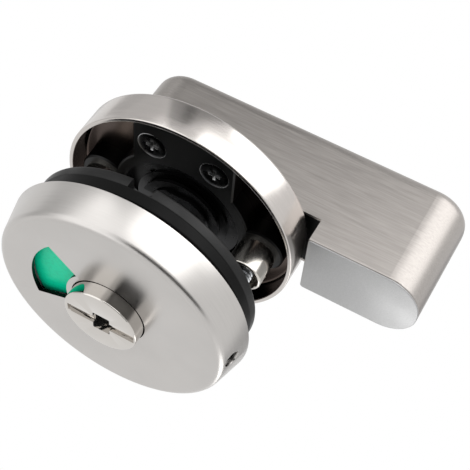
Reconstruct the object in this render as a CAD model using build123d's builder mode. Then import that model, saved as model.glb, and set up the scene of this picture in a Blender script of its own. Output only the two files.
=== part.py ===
from build123d import *
from math import asin, atan, cos, degrees, radians, sin
import os

# Toilet indicator bolt for a cubicle door, drawn unlocked with its bar hanging down.
# The origin lies on the turning axis, where the outer gasket meets the door.
# +Y runs through the door into the cubicle, +Z is up and +X is to the right seen from outside.
# Sizes are in millimetres. Angles are in degrees, counter-clockwise from +X towards +Z.

# Door that the bolt clamps
DOOR = 15.0

# Clearances and cutting
RUN = 0.05
SLIP = 0.15
SEAT = 0.03
AIR = 0.3
OVERRUN = 2.0

# Outer cover, a pressed steel cap. Its radius sets the radii of all that it covers.
COVER_R = 32.5
COVER_DEPTH = 9.1
COVER_WALL = 1.0
COVER_TAPER = 2.2
COVER_EDGE = 2.0
COVER_FIT = 0.2
WINDOW_ANGLE = 78.7
WINDOW_ARC_ANGLE = 63.8
WINDOW_INSET = 0.2
WINDOW_MARGIN = 1.9
WINDOW_CORNER = 0.5

# Outer base and gasket
GASKET = 3.0
GASKET_INSET = 1.0
GASKET_BORE_GAP = 5.45
GASKET_EDGE = 0.6
NOTCH_WIDTH = 6.0
NOTCH_DEPTH = 4.4
NOTCH_CORNER = 1.2
FLANGE = 3.1
NECK = 1.6
NECK_INSET = 2.5
NECK_WALL = 2.05
RIM_WALL = 4.3
RIM_CHAMFER = 1.2
CHAMBER_AIR = 0.2

# Cover's grub screw, an M4
GRUB_R = 2.0
GRUB_LENGTH = 3.0
GRUB_DOWN = 3.6
GRUB_SUNK = 0.8
GRUB_KEY = 2.0
GRUB_KEY_DEPTH = 1.5

# Coin release
RELEASE_R = 9.75
RELEASE_PROUD = 3.7
RELEASE_EDGE = 0.4
RELEASE_LEDGE = 1.25
RELEASE_FLANGE = 1.2
RELEASE_STEP = 1.05
RELEASE_SHOULDER = 1.5
RELEASE_TAIL = 0.5
RELEASE_WEB = 1.8
SLOT_WIDTH = 2.15
SLOT_DEPTH = 1.2
KEY_WIDTH = 6.0
KEY_HEIGHT = 4.2
KEY_DEPTH = 3.0
FLAT_CUT = 0.8

# Indicator disc, its colour sectors and its clip
DISC = 1.0
DISC_GAP = 3.9
SECTOR = 0.25
SECTOR_MARGIN = 1.2
SECTOR_ARC_ANGLE = 74.0
DISC_CLIP = 0.9
DISC_CLIP_WIDTH = 2.0
CLIP_BITE = 0.7
CLIP_GAP = 6.0

# Fixing bolts, M5, and the threaded posts that they enter
BOLT_R = 2.5
BOLT_HEAD_R = 4.25
BOLT_HEAD = 2.8
BOLT_SUNK = 0.8
BOLT_REACH = 6.4
BOLT_CLEAR = 0.25
BOLT_POCKET_GAP = 0.5
BOLT_END_EDGE = 0.4
POST_R = 5.0
POST_PROUD = 7.1
POST_SHOULDER = 1.45
POST_SPIGOT = 3.6
POST_RIM = 0.75
POST_MOUTH = 2.2
POST_THREAD = 8.0
POST_EDGE = 0.3

# Inner cup
CUP_INSET = 0.8
CUP_DEPTH = 9.4
CUP_WALL = 1.2
CUP_FLOOR = 3.1
CUP_EDGE = 0.9
CUP_CORNER = 0.8
CUP_SKIN = 0.5

# Inner base plate
PLATE = 4.8
PLATE_GAP = 0.9
PLATE_WEB = 0.65
PLATE_RIM = 2.8
PLATE_SEAT_WALL = 1.55
PLATE_LUG_WALL = 1.3
PLATE_LUG_CORNER = 2.0
PLATE_EDGE = 0.4
WELL_DEPTH = 3.1

# Base screws, M4 countersunk
SCREW_R = 2.0
SCREW_HEAD_R = 4.0
SCREW_LAND = 0.3
SCREW_WEB = 1.7
SCREW_ANGLE = 22.5
SCREW_END_GAP = 0.2
CROSS_LENGTH = 4.4
CROSS_WIDTH = 0.9
CROSS_DEPTH = 1.4

# Drive hub and the rings round it, their radii as shares of the well's
HUB_SHARE = 0.51
BUSH_SHARE = 0.605
BUSH_FLANGE_SHARE = 0.739
THRUST_SHARE = 0.5765
CIRCLIP_SHARE = 0.662
SPRING_SHARE = 0.777
STOP_WASHER_SHARE = 0.968
STOP_PIN_CIRCLE_SHARE = 0.8535
STOP_PIN_SHARE = 0.0955
BUSH_FLANGE = 0.8
THRUST = 1.5
STOP_WASHER = 1.0
STOP_PIN_ANGLE = 45.0
STOP_PIN_SHY = 0.35
TURN = 90.0
SPRING_FIT = 0.2
SPRING_SHEET = 0.4
SPRING_HEIGHT = 0.75
CIRCLIP = 0.9
HUB_TIP = 0.8
HUB_EDGE = 0.3
HUB_FLANGE = 3.0
HUB_FLANGE_EDGE = 0.5
HUB_FLANGE_CORNER = 3.0
HUB_SCREW_GAP = 0.7
HUB_SCREW_LENGTH = 12.0

# Square spindle
SPINDLE = 6.0
SPINDLE_HEAD_R = 5.0
SPINDLE_HEAD = 2.0
SPINDLE_EDGE = 0.3
SPINDLE_END_GAP = 0.5

# Turning bar: steel shell, moulded core and buffer insert
BAR_GAP = 1.6
BAR_HALF = 9.8
BAR_TOP = 24.8
BAR_BOTTOM = -63.5
BAR_DEPTH = 24.9
BAR_END_FLAT = 0.5
BAR_REAR_EDGE = 4.0
SHELL = 0.8
SHELL_LIP = 0.4
STEP_GAP = 1.6
STEP = 6.75
CORE_FIT = 0.1
CORE_WALL = 1.4
INSERT_SUNK = 0.1
INSERT_ROOT = 3.5
INSERT_CORNER = 2.0
INSERT_EDGE = 0.3
INSERT_GAP = 0.2
BUFFER_SCREW_R = 2.0
BUFFER_SCREW_HEAD_R = 3.5
BUFFER_SCREW_HEAD = 2.4
BUFFER_SCREW_LENGTH = 10.0
BUFFER_SCREW_SPACING = 14.0
BUFFER_SCREW_SEAT = 4.0

# Places along Y, from outside to inside
flange_rear = -GASKET
flange_front = flange_rear - FLANGE
cover_rear = flange_front - NECK
cover_face = cover_rear - COVER_DEPTH
cover_inside = cover_face + COVER_WALL
release_front = cover_face - RELEASE_PROUD
release_flange_front = cover_inside + AIR
disc_front = release_flange_front + RELEASE_FLANGE
disc_rear = disc_front + DISC
disc_clip_rear = disc_rear + DISC_CLIP
hub_end = disc_clip_rear + AIR
chamber_floor = hub_end + CHAMBER_AIR
release_tail = flange_rear - RELEASE_TAIL
plate_front = DOOR + CUP_DEPTH - CUP_FLOOR - PLATE
cup_floor = plate_front + PLATE
cup_rear = DOOR + CUP_DEPTH
well_floor = plate_front + WELL_DEPTH
bush_front = well_floor - BUSH_FLANGE
stop_front = bush_front - RUN - STOP_WASHER
spring_front = stop_front - SPRING_HEIGHT
circlip_front = spring_front - CIRCLIP
hub_front = circlip_front - HUB_TIP
post_front = DOOR - POST_PROUD
bolt_end = post_front + BOLT_REACH
bolt_seat = chamber_floor + BOLT_SUNK + BOLT_HEAD
bar_front = cup_rear + BAR_GAP
bar_rear = bar_front + BAR_DEPTH
shell_floor = bar_rear - SHELL
face_front = bar_front - STEP
insert_front = face_front + INSERT_SUNK
insert_rear = bar_front + INSERT_ROOT
hub_flange_rear = bar_front + HUB_FLANGE
spindle_rear = hub_flange_rear + SPINDLE_HEAD
key_floor = release_front + KEY_DEPTH
socket_end = key_floor + RELEASE_WEB
spindle_front = socket_end + SPINDLE_END_GAP

# Places across the axis, from the cover inwards
cover_taper_angle = degrees(atan(COVER_TAPER / COVER_DEPTH))
cover_side_r = COVER_R - COVER_TAPER * (1 - GRUB_DOWN / COVER_DEPTH)
spigot_r = COVER_R - COVER_WALL - COVER_FIT
spigot_front_r = spigot_r - COVER_TAPER * (cover_rear - AIR - cover_inside) / COVER_DEPTH
gasket_r = spigot_r - GASKET_INSET
neck_r = spigot_r - NECK_INSET
chamber_r = spigot_r - RIM_WALL
bolt_pocket_r = BOLT_HEAD_R + BOLT_POCKET_GAP
bolt_circle_r = neck_r - NECK_WALL - bolt_pocket_r
gasket_bore_r = bolt_circle_r - BOLT_R - BOLT_CLEAR - GASKET_BORE_GAP
post_mouth_r = POST_R - POST_RIM
post_spigot_r = POST_R - POST_SHOULDER
cup_r = COVER_R - CUP_INSET
plate_lug_r = cup_r - CUP_WALL - PLATE_GAP
plate_seat_r = POST_R + PLATE_SEAT_WALL
well_r = bolt_circle_r - POST_R - PLATE_WEB
plate_disc_r = well_r + PLATE_RIM
screw_circle_r = well_r + SCREW_WEB + SCREW_HEAD_R
screw_x = screw_circle_r * cos(radians(SCREW_ANGLE))
screw_z = screw_circle_r * sin(radians(SCREW_ANGLE))
plate_lug_half = screw_z + SCREW_HEAD_R + PLATE_LUG_WALL
hub_r = well_r * HUB_SHARE
bush_r = well_r * BUSH_SHARE
bush_flange_r = well_r * BUSH_FLANGE_SHARE
thrust_r = well_r * THRUST_SHARE
circlip_r = well_r * CIRCLIP_SHARE
spring_r = well_r * SPRING_SHARE
spring_bore_r = hub_r + SPRING_FIT
stop_washer_r = well_r * STOP_WASHER_SHARE
stop_pin_circle_r = well_r * STOP_PIN_CIRCLE_SHARE
stop_pin_r = well_r * STOP_PIN_SHARE
stop_notch_r = stop_pin_circle_r - stop_pin_r - AIR
stop_margin = degrees(asin((stop_pin_r + RUN) / stop_pin_circle_r))

# The release and the disc round it
cover_bore_r = RELEASE_R + AIR
release_flange_r = cover_bore_r + RELEASE_LEDGE
release_hub_r = RELEASE_R - RELEASE_STEP
release_journal_r = release_hub_r - RELEASE_SHOULDER
disc_clip_r = release_hub_r + DISC_CLIP_WIDTH
disc_r = chamber_r - DISC_GAP
window_inner_r = release_flange_r + WINDOW_INSET
window_outer_r = disc_r - WINDOW_MARGIN

# The bar's length and what fills it, its step just below the cup
step_z = -cup_r - STEP_GAP
bar_middle_z = (BAR_TOP + BAR_BOTTOM) / 2
bar_length = BAR_TOP - BAR_BOTTOM
bar_corner = BAR_HALF - BAR_END_FLAT
core_half = BAR_HALF - SHELL - CORE_FIT
core_length = bar_length - 2 * (SHELL + CORE_FIT)
core_corner = bar_corner - SHELL - CORE_FIT
core_bottom = BAR_BOTTOM + SHELL + CORE_FIT
insert_middle_z = (step_z + core_bottom) / 2
hub_screw_z = hub_r + HUB_SCREW_GAP + SCREW_HEAD_R
hub_flange_width = 2 * (core_half - CORE_WALL)
hub_flange_length = 2 * (hub_screw_z + SCREW_HEAD_R + HUB_FLANGE_EDGE)

bolt_places = [(0, bolt_circle_r), (0, -bolt_circle_r)]
hub_screw_places = [(0, hub_screw_z), (0, -hub_screw_z)]
buffer_screw_places = [
    (0, insert_middle_z + BUFFER_SCREW_SPACING / 2),
    (0, insert_middle_z - BUFFER_SCREW_SPACING / 2),
]
screw_length = PLATE + CUP_FLOOR - CUP_SKIN - SCREW_END_GAP


def across(y):
    """The plane across the axis at y, with local X along +X and local Y along +Z.

    Its normal is -Y, so a sketch at a piece's rear is extruded forwards by a positive amount.
    """
    return Plane.XZ.offset(-y)


def ring_sector(inner_r, outer_r, centre, span, mode=Mode.ADD):
    """A face between two radii and two angles, in the current sketch."""
    with BuildLine() as outline:
        outer = CenterArc((0, 0), outer_r, centre - span / 2, span)
        inner = CenterArc((0, 0), inner_r, centre - span / 2, span)
        Line(outer @ 0, inner @ 0)
        Line(outer @ 1, inner @ 1)
    make_face(outline.edges(), mode=mode)


def flatted_circle(radius, cut):
    """A disc with a flat cut from its +X and -X sides, in the current sketch."""
    Circle(radius)
    Rectangle(2 * (radius - cut), 2 * radius, mode=Mode.INTERSECT)


def clip_outline(bore_r, outer_r):
    """An open retaining ring with its gap upwards, in the current sketch."""
    Circle(outer_r)
    Circle(bore_r, mode=Mode.SUBTRACT)
    with Locations((0, (bore_r + outer_r) / 2)):
        Rectangle(CLIP_GAP, 2 * (outer_r - bore_r), mode=Mode.SUBTRACT)


def cross_recess(head_y):
    """Cuts a cross recess into the head that faces -Y at head_y, in the current part."""
    with BuildSketch(across(head_y)) as cross:
        Rectangle(CROSS_LENGTH, CROSS_WIDTH)
        Rectangle(CROSS_WIDTH, CROSS_LENGTH)
    extrude(cross.sketch, amount=-CROSS_DEPTH, mode=Mode.SUBTRACT)


def countersunk_screw(length):
    """An M4 countersunk screw along +Y, its head's face at y = 0."""
    with BuildPart() as screw:
        with BuildSketch(Plane.XY):
            with BuildLine():
                Polyline(
                    (0, 0),
                    (SCREW_HEAD_R, 0),
                    (SCREW_HEAD_R, SCREW_LAND),
                    (SCREW_R, SCREW_LAND + SCREW_HEAD_R - SCREW_R),
                    (SCREW_R, length),
                    (0, length),
                    close=True,
                )
            make_face()
        revolve(axis=Axis.Y)
        cross_recess(0)
    return screw.part


def countersunk_hole(front, rear, clearance):
    """The space that a countersunk screw takes from front to rear, along +Y."""
    seat_r = SCREW_HEAD_R + clearance
    hole_r = SCREW_R + clearance
    with BuildPart() as hole:
        with BuildSketch(Plane.XY):
            with BuildLine():
                Polyline(
                    (0, front - OVERRUN),
                    (seat_r, front - OVERRUN),
                    (seat_r, front + SCREW_LAND),
                    (hole_r, front + SCREW_LAND + seat_r - hole_r),
                    (hole_r, rear),
                    (0, rear),
                    close=True,
                )
            make_face()
        revolve(axis=Axis.Y)
    return hole.part


def bar_outline(half, length, corner):
    """The bar's long outline with rounded ends, in the current sketch."""
    with Locations((0, bar_middle_z)):
        RectangleRounded(2 * half, length, corner)


def finish(piece, name):
    """Labels a finished piece and writes it to its file."""
    piece.part.label = name
    export_step(piece.part, f"parts/{name}.step")


os.makedirs("parts", exist_ok=True)
screw = countersunk_screw(screw_length)

# Outer cover: a slightly tapered pressed cap with a window, a hole for the release and one for the grub screw
with BuildPart() as outer_cover:
    with BuildSketch(across(cover_rear)):
        Circle(COVER_R)
    extrude(amount=COVER_DEPTH, taper=cover_taper_angle)
    fillet(outer_cover.faces().sort_by(Axis.Y)[0].edges(), COVER_EDGE)
    offset(amount=-COVER_WALL, openings=outer_cover.faces().sort_by(Axis.Y)[-1])
    with BuildSketch(across(cover_inside)):
        Circle(cover_bore_r)
    extrude(amount=OVERRUN, mode=Mode.SUBTRACT)
    with BuildSketch(across(cover_inside)) as window:
        ring_sector(window_inner_r, window_outer_r, WINDOW_ANGLE, WINDOW_ARC_ANGLE)
        fillet(window.vertices(), WINDOW_CORNER)
    extrude(amount=OVERRUN, mode=Mode.SUBTRACT)
    with BuildSketch(Plane.XY.offset(-COVER_R - OVERRUN)):
        with Locations((0, cover_face + GRUB_DOWN)):
            Circle(GRUB_R + SLIP)
    extrude(amount=OVERRUN + COVER_R - chamber_r, mode=Mode.SUBTRACT)
finish(outer_cover, "outer_cover")

# Grub screw that locks the cover on the base, with a hexagon socket
with BuildPart() as cover_grub_screw:
    with BuildSketch(Plane.XY.offset(-cover_side_r + GRUB_SUNK)):
        with Locations((0, cover_face + GRUB_DOWN)):
            Circle(GRUB_R)
    extrude(amount=GRUB_LENGTH)
    with BuildSketch(Plane.XY.offset(-cover_side_r + GRUB_SUNK)):
        with Locations((0, cover_face + GRUB_DOWN)):
            RegularPolygon(GRUB_KEY / 2, 6, major_radius=False)
    extrude(amount=GRUB_KEY_DEPTH, mode=Mode.SUBTRACT)
finish(cover_grub_screw, "cover_grub_screw")

# Outer base: a moulded spigot inside the cover, a neck and the flange under the gasket
with BuildPart() as outer_base:
    with BuildSketch(Plane.XY):
        with BuildLine():
            Polyline(
                (0, cover_inside),
                (spigot_front_r - RIM_CHAMFER, cover_inside),
                (spigot_front_r, cover_inside + RIM_CHAMFER),
                (spigot_r, cover_rear - AIR),
                (0, cover_rear - AIR),
                close=True,
            )
        make_face()
    revolve(axis=Axis.Y)
    with BuildSketch(across(flange_front)):
        Circle(neck_r)
    extrude(amount=flange_front - chamber_floor)
    with BuildSketch(across(flange_rear)):
        Circle(gasket_r)
    extrude(amount=FLANGE)
    flange_edge = outer_base.edges().filter_by(GeomType.CIRCLE).filter_by(
        lambda e: abs(e.radius - gasket_r) < SEAT and e.center().Y < flange_rear - SEAT
    )
    fillet(flange_edge, GASKET_EDGE)
    with BuildSketch(across(chamber_floor)):
        Circle(chamber_r)
    extrude(amount=chamber_floor - cover_inside + OVERRUN, mode=Mode.SUBTRACT)
    with BuildSketch(across(flange_rear)):
        Circle(release_journal_r + RUN)
        with Locations(*bolt_places):
            Circle(BOLT_R + BOLT_CLEAR)
    extrude(amount=flange_rear - chamber_floor, mode=Mode.SUBTRACT)
    with BuildSketch(across(bolt_seat)):
        with Locations(*bolt_places):
            Circle(bolt_pocket_r)
    extrude(amount=bolt_seat - chamber_floor, mode=Mode.SUBTRACT)
    with BuildSketch(Plane.XY.offset(-spigot_r - OVERRUN)):
        with Locations((0, cover_face + GRUB_DOWN)):
            Circle(GRUB_R + SEAT)
    extrude(amount=OVERRUN + spigot_r - chamber_r + SLIP, mode=Mode.SUBTRACT)
finish(outer_base, "outer_base")

# Outer gasket, with the notch in its +X side that the photo shows
with BuildPart() as outer_gasket:
    with BuildSketch(across(0)):
        Circle(gasket_r)
        Circle(gasket_bore_r, mode=Mode.SUBTRACT)
        with Locations(*bolt_places):
            Circle(BOLT_R + BOLT_CLEAR, mode=Mode.SUBTRACT)
    extrude(amount=GASKET)
    fillet(outer_gasket.faces().sort_by(Axis.Y)[-1].edges().sort_by(SortBy.LENGTH)[-1], GASKET_EDGE)
    with BuildSketch(across(0)):
        with Locations((gasket_r, 0)):
            RectangleRounded(2 * NOTCH_DEPTH, NOTCH_WIDTH, NOTCH_CORNER)
    extrude(amount=GASKET, mode=Mode.SUBTRACT)
finish(outer_gasket, "outer_gasket")

# Fixing bolts from the outer base through the door into the posts
with BuildPart() as bolt:
    with BuildSketch(across(bolt_seat)):
        Circle(BOLT_HEAD_R)
    extrude(amount=BOLT_HEAD)
    fillet(bolt.faces().sort_by(Axis.Y)[0].edges(), BOLT_HEAD / 2)
    with BuildSketch(across(bolt_end)):
        Circle(BOLT_R)
    extrude(amount=bolt_end - bolt_seat)
    chamfer(bolt.faces().sort_by(Axis.Y)[-1].edges(), BOLT_END_EDGE)
    cross_recess(bolt_seat - BOLT_HEAD)
with BuildPart() as fixing_bolts:
    for x, z in bolt_places:
        add(Pos(x, 0, z) * bolt.part)
finish(fixing_bolts, "fixing_bolts")

# Threaded posts that stand on the inner base and reach into the door
with BuildPart() as post:
    with BuildSketch(across(plate_front)):
        Circle(POST_R)
    extrude(amount=plate_front - post_front)
    fillet(post.faces().sort_by(Axis.Y)[0].edges(), POST_EDGE)
    with BuildSketch(across(plate_front + POST_SPIGOT)):
        Circle(post_spigot_r)
    extrude(amount=POST_SPIGOT)
    with BuildSketch(across(post_front + POST_THREAD)):
        Circle(BOLT_R + SEAT)
    extrude(amount=POST_THREAD, mode=Mode.SUBTRACT)
    with BuildSketch(across(post_front + POST_MOUTH)):
        Circle(post_mouth_r)
    extrude(amount=POST_MOUTH, mode=Mode.SUBTRACT)
with BuildPart() as threaded_posts:
    for x, z in bolt_places:
        add(Pos(x, 0, z) * post.part)
finish(threaded_posts, "threaded_posts")

# Inner cup
with BuildPart() as inner_cup:
    with BuildSketch(across(cup_rear)):
        Circle(cup_r)
    extrude(amount=CUP_DEPTH)
    fillet(inner_cup.faces().sort_by(Axis.Y)[-1].edges(), CUP_EDGE)
    with BuildSketch(across(cup_floor)):
        Circle(cup_r - CUP_WALL)
    extrude(amount=cup_floor - DOOR, mode=Mode.SUBTRACT)
    floor_edge = inner_cup.edges().filter_by(GeomType.CIRCLE).filter_by(
        lambda e: abs(e.center().Y - cup_floor) < SEAT
    )
    fillet(floor_edge, CUP_CORNER)
    with BuildSketch(across(cup_rear)):
        Circle(bush_r + SEAT)
    extrude(amount=CUP_FLOOR, mode=Mode.SUBTRACT)
    with BuildSketch(across(cup_rear - CUP_SKIN)):
        with GridLocations(2 * screw_x, 2 * screw_z, 2, 2):
            Circle(SCREW_R + SEAT)
    extrude(amount=CUP_FLOOR - CUP_SKIN, mode=Mode.SUBTRACT)
finish(inner_cup, "inner_cup")

# Inner base: a cast plate with two lugs, seats for the posts and a well round the hub
with BuildPart() as inner_base:
    with BuildSketch(across(cup_floor)) as lugs:
        Circle(plate_lug_r)
        Rectangle(2 * plate_lug_r, 2 * plate_lug_half, mode=Mode.INTERSECT)
        fillet(lugs.vertices(), PLATE_LUG_CORNER)
    extrude(amount=PLATE)
    with BuildSketch(across(cup_floor)):
        Circle(plate_disc_r)
        with Locations(*bolt_places):
            Circle(plate_seat_r)
    extrude(amount=PLATE)
    chamfer(inner_base.faces().sort_by(Axis.Y)[0].outer_wire().edges(), PLATE_EDGE)
    with BuildSketch(across(well_floor)):
        Circle(well_r)
    extrude(amount=WELL_DEPTH, mode=Mode.SUBTRACT)
    with BuildSketch(across(cup_floor)):
        Circle(bush_r + SEAT)
        with Locations(*bolt_places):
            Circle(post_spigot_r + SEAT)
        with PolarLocations(stop_pin_circle_r, 1, STOP_PIN_ANGLE):
            Circle(stop_pin_r + SEAT)
    extrude(amount=PLATE, mode=Mode.SUBTRACT)
    screw_space = countersunk_hole(plate_front, cup_floor + OVERRUN, SEAT)
    for x in (-screw_x, screw_x):
        for z in (-screw_z, screw_z):
            add(Pos(x, 0, z) * screw_space, mode=Mode.SUBTRACT)
finish(inner_base, "inner_base")

# Base screws through the plate into the cup's floor
with BuildPart() as base_screws:
    for x in (-screw_x, screw_x):
        for z in (-screw_z, screw_z):
            add(Pos(x, plate_front, z) * screw)
finish(base_screws, "base_screws")

# Hub bush, a flanged nylon bearing pressed in the plate and the cup's floor
with BuildPart() as hub_bush:
    with BuildSketch(across(cup_rear)):
        Circle(bush_r)
    extrude(amount=cup_rear - well_floor)
    with BuildSketch(across(well_floor)):
        Circle(bush_flange_r)
    extrude(amount=BUSH_FLANGE)
    with BuildSketch(across(cup_rear)):
        Circle(hub_r + RUN)
    extrude(amount=cup_rear - bush_front, mode=Mode.SUBTRACT)
finish(hub_bush, "hub_bush")

# Thrust washer between the cup and the bar
with BuildPart() as thrust_washer:
    with BuildSketch(across(cup_rear + THRUST)):
        Circle(thrust_r)
        Circle(hub_r + RUN, mode=Mode.SUBTRACT)
    extrude(amount=THRUST)
finish(thrust_washer, "thrust_washer")

# Stop pin, pressed in the plate's floor, that stands in the stop washer's notch
with BuildPart() as stop_pin:
    with BuildSketch(across(cup_floor)):
        with PolarLocations(stop_pin_circle_r, 1, STOP_PIN_ANGLE):
            Circle(stop_pin_r)
    extrude(amount=cup_floor - stop_front - STOP_PIN_SHY)
finish(stop_pin, "stop_pin")

# Stop washer, keyed on the hub's flats, with a notch that lets the bar turn a quarter
with BuildPart() as stop_washer:
    with BuildSketch(across(stop_front + STOP_WASHER)):
        Circle(stop_washer_r)
        notch_centre = STOP_PIN_ANGLE + TURN / 2
        notch_span = TURN + 2 * stop_margin
        ring_sector(stop_notch_r, stop_washer_r + OVERRUN, notch_centre, notch_span, Mode.SUBTRACT)
    extrude(amount=STOP_WASHER)
    with BuildSketch(across(stop_front + STOP_WASHER)):
        flatted_circle(hub_r + RUN, FLAT_CUT)
    extrude(amount=STOP_WASHER, mode=Mode.SUBTRACT)
finish(stop_washer, "stop_washer")

# Disc spring between the stop washer and the circlip
with BuildPart() as disc_spring:
    with BuildSketch(Plane.XY):
        with BuildLine():
            Polyline(
                (spring_bore_r, spring_front),
                (spring_r, stop_front - SPRING_SHEET),
                (spring_r, stop_front),
                (spring_bore_r, spring_front + SPRING_SHEET),
                close=True,
            )
        make_face()
    revolve(axis=Axis.Y)
finish(disc_spring, "disc_spring")

# Circlip in the drive hub's groove
with BuildPart() as hub_circlip:
    with BuildSketch(across(spring_front)):
        clip_outline(hub_r - CLIP_BITE + SEAT, circlip_r)
    extrude(amount=CIRCLIP)
finish(hub_circlip, "hub_circlip")

# Drive hub: a journal in the bush, with a flange screwed to the bar's core
with BuildPart() as drive_hub:
    with BuildSketch(across(hub_flange_rear)):
        RectangleRounded(hub_flange_width, hub_flange_length, HUB_FLANGE_CORNER)
    extrude(amount=HUB_FLANGE)
    with BuildSketch(across(bar_front)):
        Circle(hub_r)
    extrude(amount=bar_front - hub_front)
    chamfer(drive_hub.faces().sort_by(Axis.Y)[0].edges(), HUB_EDGE)
    with BuildSketch(across(bush_front)):
        with GridLocations(2 * (hub_r - FLAT_CUT) + OVERRUN, 0, 2, 1):
            Rectangle(OVERRUN, 2 * hub_r)
    extrude(amount=bush_front - hub_front, mode=Mode.SUBTRACT)
    with BuildSketch(across(spring_front)):
        Circle(hub_r + OVERRUN)
        Circle(hub_r - CLIP_BITE, mode=Mode.SUBTRACT)
    extrude(amount=CIRCLIP, mode=Mode.SUBTRACT)
    with BuildSketch(across(hub_flange_rear)):
        Rectangle(SPINDLE + 2 * RUN, SPINDLE + 2 * RUN)
    extrude(amount=hub_flange_rear - hub_front, mode=Mode.SUBTRACT)
    hub_screw_space = countersunk_hole(bar_front, hub_flange_rear, SEAT)
    for x, z in hub_screw_places:
        add(Pos(x, 0, z) * hub_screw_space, mode=Mode.SUBTRACT)
finish(drive_hub, "drive_hub")

# Screws that hold the drive hub on the core
with BuildPart() as hub_screws:
    hub_screw = countersunk_screw(HUB_SCREW_LENGTH)
    for x, z in hub_screw_places:
        add(Pos(x, bar_front, z) * hub_screw)
finish(hub_screws, "hub_screws")

# Square spindle, headed at the bar's end and free to slide in the release
with BuildPart() as spindle:
    with BuildSketch(across(hub_flange_rear)):
        Rectangle(SPINDLE, SPINDLE)
    extrude(amount=hub_flange_rear - spindle_front)
    chamfer(spindle.edges().filter_by(Axis.Y), SPINDLE_EDGE)
    with BuildSketch(across(spindle_rear)):
        Circle(SPINDLE_HEAD_R)
    extrude(amount=SPINDLE_HEAD)
finish(spindle, "spindle")

# Bar shell: a drawn steel box, open to the front, whose walls step forward round the insert
with BuildPart() as bar_shell:
    with BuildSketch(across(bar_rear)):
        bar_outline(BAR_HALF, bar_length, bar_corner)
    extrude(amount=bar_rear - face_front)
    fillet(bar_shell.faces().sort_by(Axis.Y)[-1].edges(), BAR_REAR_EDGE)
    offset(amount=-SHELL, openings=bar_shell.faces().sort_by(Axis.Y)[0])
    fillet(bar_shell.faces().sort_by(Axis.Y)[0].outer_wire().edges(), SHELL_LIP)
    with BuildSketch(across(bar_front)):
        with Locations((0, (step_z + BAR_TOP + OVERRUN) / 2)):
            Rectangle(2 * (BAR_HALF + OVERRUN), BAR_TOP + OVERRUN - step_z)
    extrude(amount=STEP + OVERRUN, mode=Mode.SUBTRACT)
finish(bar_shell, "bar_shell")

# Core that fills the shell, with pockets for the hub's flange and the spindle's head
with BuildPart() as bar_core:
    with BuildSketch(across(shell_floor - CORE_FIT)):
        bar_outline(core_half, core_length, core_corner)
    extrude(amount=shell_floor - CORE_FIT - bar_front)
    fillet(bar_core.faces().sort_by(Axis.Y)[-1].edges(), BAR_REAR_EDGE - SHELL)
    with BuildSketch(across(insert_rear + CORE_FIT)):
        with Locations((0, (step_z + BAR_BOTTOM - OVERRUN) / 2)):
            Rectangle(2 * (BAR_HALF + OVERRUN), step_z - BAR_BOTTOM + OVERRUN)
    extrude(amount=INSERT_ROOT + CORE_FIT + OVERRUN, mode=Mode.SUBTRACT)
    with BuildSketch(across(hub_flange_rear + SEAT)):
        RectangleRounded(hub_flange_width + 2 * SEAT, hub_flange_length + 2 * SEAT, HUB_FLANGE_CORNER)
    extrude(amount=HUB_FLANGE + SEAT + OVERRUN, mode=Mode.SUBTRACT)
    with BuildSketch(across(spindle_rear + AIR)):
        Circle(SPINDLE_HEAD_R + AIR)
    extrude(amount=SPINDLE_HEAD + AIR, mode=Mode.SUBTRACT)
    with BuildSketch(across(bar_front + HUB_SCREW_LENGTH + AIR)):
        with Locations(*hub_screw_places):
            Circle(SCREW_R + SEAT)
    extrude(amount=HUB_SCREW_LENGTH + AIR, mode=Mode.SUBTRACT)
    with BuildSketch(across(bar_rear)):
        with Locations(*buffer_screw_places):
            Circle(BUFFER_SCREW_R + SEAT)
    extrude(amount=bar_rear - insert_rear, mode=Mode.SUBTRACT)
    with BuildSketch(across(bar_rear)):
        with Locations(*buffer_screw_places):
            Circle(BUFFER_SCREW_HEAD_R + SLIP)
    extrude(amount=bar_rear - insert_rear - BUFFER_SCREW_SEAT, mode=Mode.SUBTRACT)
finish(bar_core, "bar_core")

# Buffer insert that fills the deep end of the shell and faces the door's stop
with BuildPart() as buffer_insert:
    with BuildSketch(across(insert_rear)) as insert_outline:
        bar_outline(core_half + CORE_FIT - INSERT_GAP, core_length, core_corner)
        with Locations((0, (step_z + BAR_BOTTOM - OVERRUN) / 2)):
            Rectangle(2 * BAR_HALF, step_z - BAR_BOTTOM + OVERRUN, mode=Mode.INTERSECT)
        fillet(insert_outline.vertices().group_by(Axis.Y)[-1], INSERT_CORNER)
    extrude(amount=insert_rear - insert_front)
    fillet(buffer_insert.faces().sort_by(Axis.Y)[0].edges(), INSERT_EDGE)
    with BuildSketch(across(insert_rear)):
        with Locations(*buffer_screw_places):
            Circle(BUFFER_SCREW_R + SEAT)
    extrude(amount=BUFFER_SCREW_LENGTH - BUFFER_SCREW_SEAT + AIR, mode=Mode.SUBTRACT)
finish(buffer_insert, "buffer_insert")

# Screws through the core's rear into the insert
buffer_screw_seat = insert_rear + BUFFER_SCREW_SEAT
with BuildPart() as buffer_screws:
    with BuildSketch(across(buffer_screw_seat + BUFFER_SCREW_HEAD)):
        with Locations(*buffer_screw_places):
            Circle(BUFFER_SCREW_HEAD_R)
    extrude(amount=BUFFER_SCREW_HEAD)
    with BuildSketch(across(buffer_screw_seat)):
        with Locations(*buffer_screw_places):
            Circle(BUFFER_SCREW_R)
    extrude(amount=BUFFER_SCREW_LENGTH)
finish(buffer_screws, "buffer_screws")

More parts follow.
